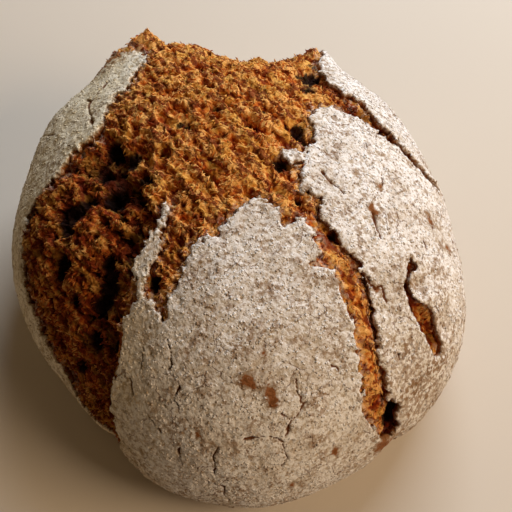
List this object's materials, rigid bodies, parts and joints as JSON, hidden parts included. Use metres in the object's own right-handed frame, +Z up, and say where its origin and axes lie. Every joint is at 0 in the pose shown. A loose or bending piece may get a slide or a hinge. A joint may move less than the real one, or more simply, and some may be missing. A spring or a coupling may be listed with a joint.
{
  "type": "round wheat loaf",
  "caption": "Round whole wheat cob loaf with a floured crust, slashed crosswise and torn wide open over the top and left side.",
  "frame": {"origin": "middle of the loaf's box, on the surface it stands on", "axes": "+Z up; -Y towards the large floured front quarter; +X towards the right-hand quarter with the side split"},
  "size_m": [0.2069, 0.2245, 0.1121],
  "materials": {
    "bread": "matt, floured crust with coarse torn crumb"
  },
  "bodies": {
    "root": {"loaf": "bread"}
  },
  "joints": []
}
